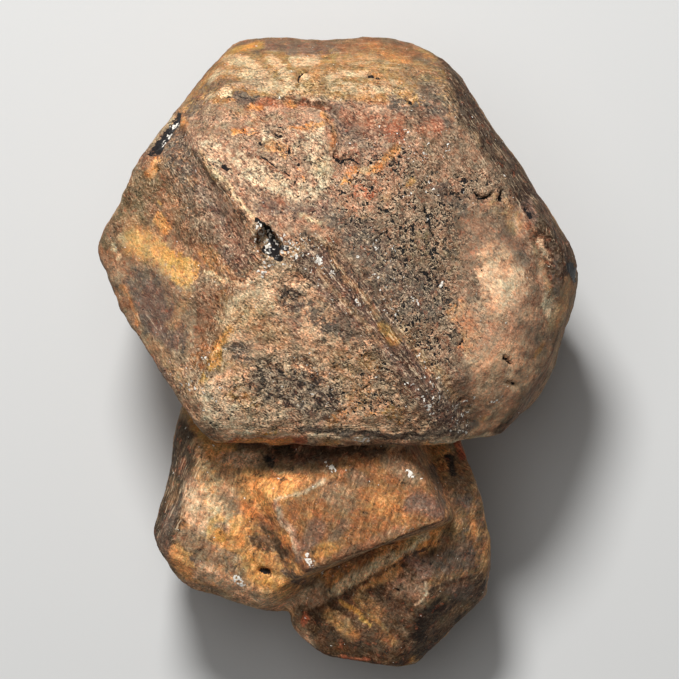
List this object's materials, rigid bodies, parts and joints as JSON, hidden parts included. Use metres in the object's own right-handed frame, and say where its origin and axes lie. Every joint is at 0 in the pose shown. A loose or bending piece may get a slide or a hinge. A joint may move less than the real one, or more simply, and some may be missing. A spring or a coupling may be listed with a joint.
{
  "type": "betafite crystal group",
  "caption": "Loose mineral specimen: one large blunt crystal with flat faces and three smaller crystals grown into it, lying on its flat back.",
  "frame": {"origin": "on the flat back face that the specimen rests on, under the middle of the whole group", "axes": "+Z up, away from the resting face, through the blunt top of the large crystal; +Y from the small crystals towards the large one, along the length; +X to the right when seen from above with +Y up"},
  "size_m": [0.0396, 0.0528, 0.0331],
  "materials": {
    "altered_betafite": "dull, pitted brown skin with ochre and rust stains, and small glassy black breaks"
  },
  "bodies": {
    "root": {"betafite_group": "altered_betafite"}
  },
  "joints": []
}
